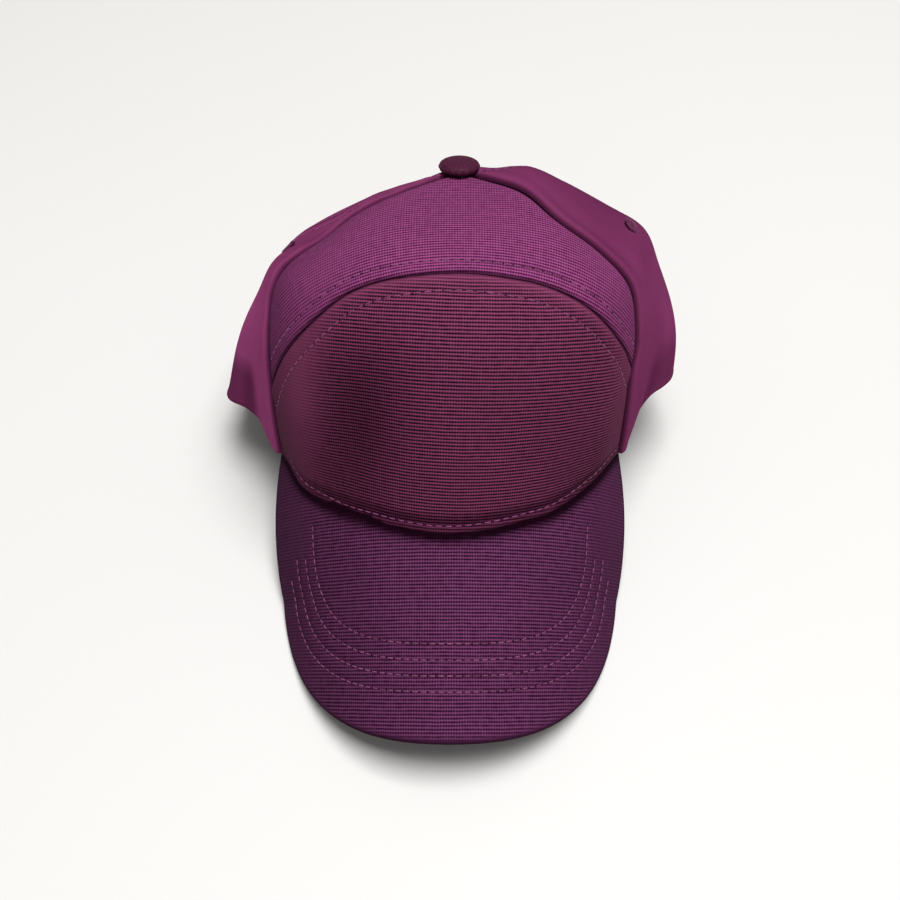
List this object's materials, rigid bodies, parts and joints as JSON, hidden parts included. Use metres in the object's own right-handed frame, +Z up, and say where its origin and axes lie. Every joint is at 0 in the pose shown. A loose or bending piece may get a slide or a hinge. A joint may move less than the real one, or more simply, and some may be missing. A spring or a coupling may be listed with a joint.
{
  "type": "seven-panel cap with a curved peak",
  "caption": "Soft panelled cap with a curved stitched peak, top button, eyelets and rear strap, resting on its rim and peak.",
  "frame": {"origin": "middle of the footprint on the floor under the resting cap", "axes": "+Z up from the floor, the peak points to -Y, +X to the right seen from the front"},
  "size_m": [0.1828, 0.2442, 0.1269],
  "materials": {
    "ribbed_cloth": "ribbed weave, plum, soft sheen",
    "smooth_cloth": "smooth satin-like twill, plum",
    "peak_cloth": "ribbed weave over a stiff board, violet plum",
    "trim_cloth": "plain dark maroon cloth"
  },
  "bodies": {
    "root": {"front_lower_panel": "ribbed_cloth", "front_upper_panel": "ribbed_cloth", "side_panel_left": "smooth_cloth", "side_panel_right": "smooth_cloth", "back_panel_left": "smooth_cloth", "back_panel_right": "smooth_cloth", "back_panel_centre": "smooth_cloth", "back_strap": "smooth_cloth", "peak": "peak_cloth", "button": "trim_cloth", "sweatband": "trim_cloth", "eyelet_side_left": "smooth_cloth", "eyelet_side_right": "smooth_cloth", "eyelet_back_left": "smooth_cloth", "eyelet_back_right": "smooth_cloth"}
  },
  "joints": []
}
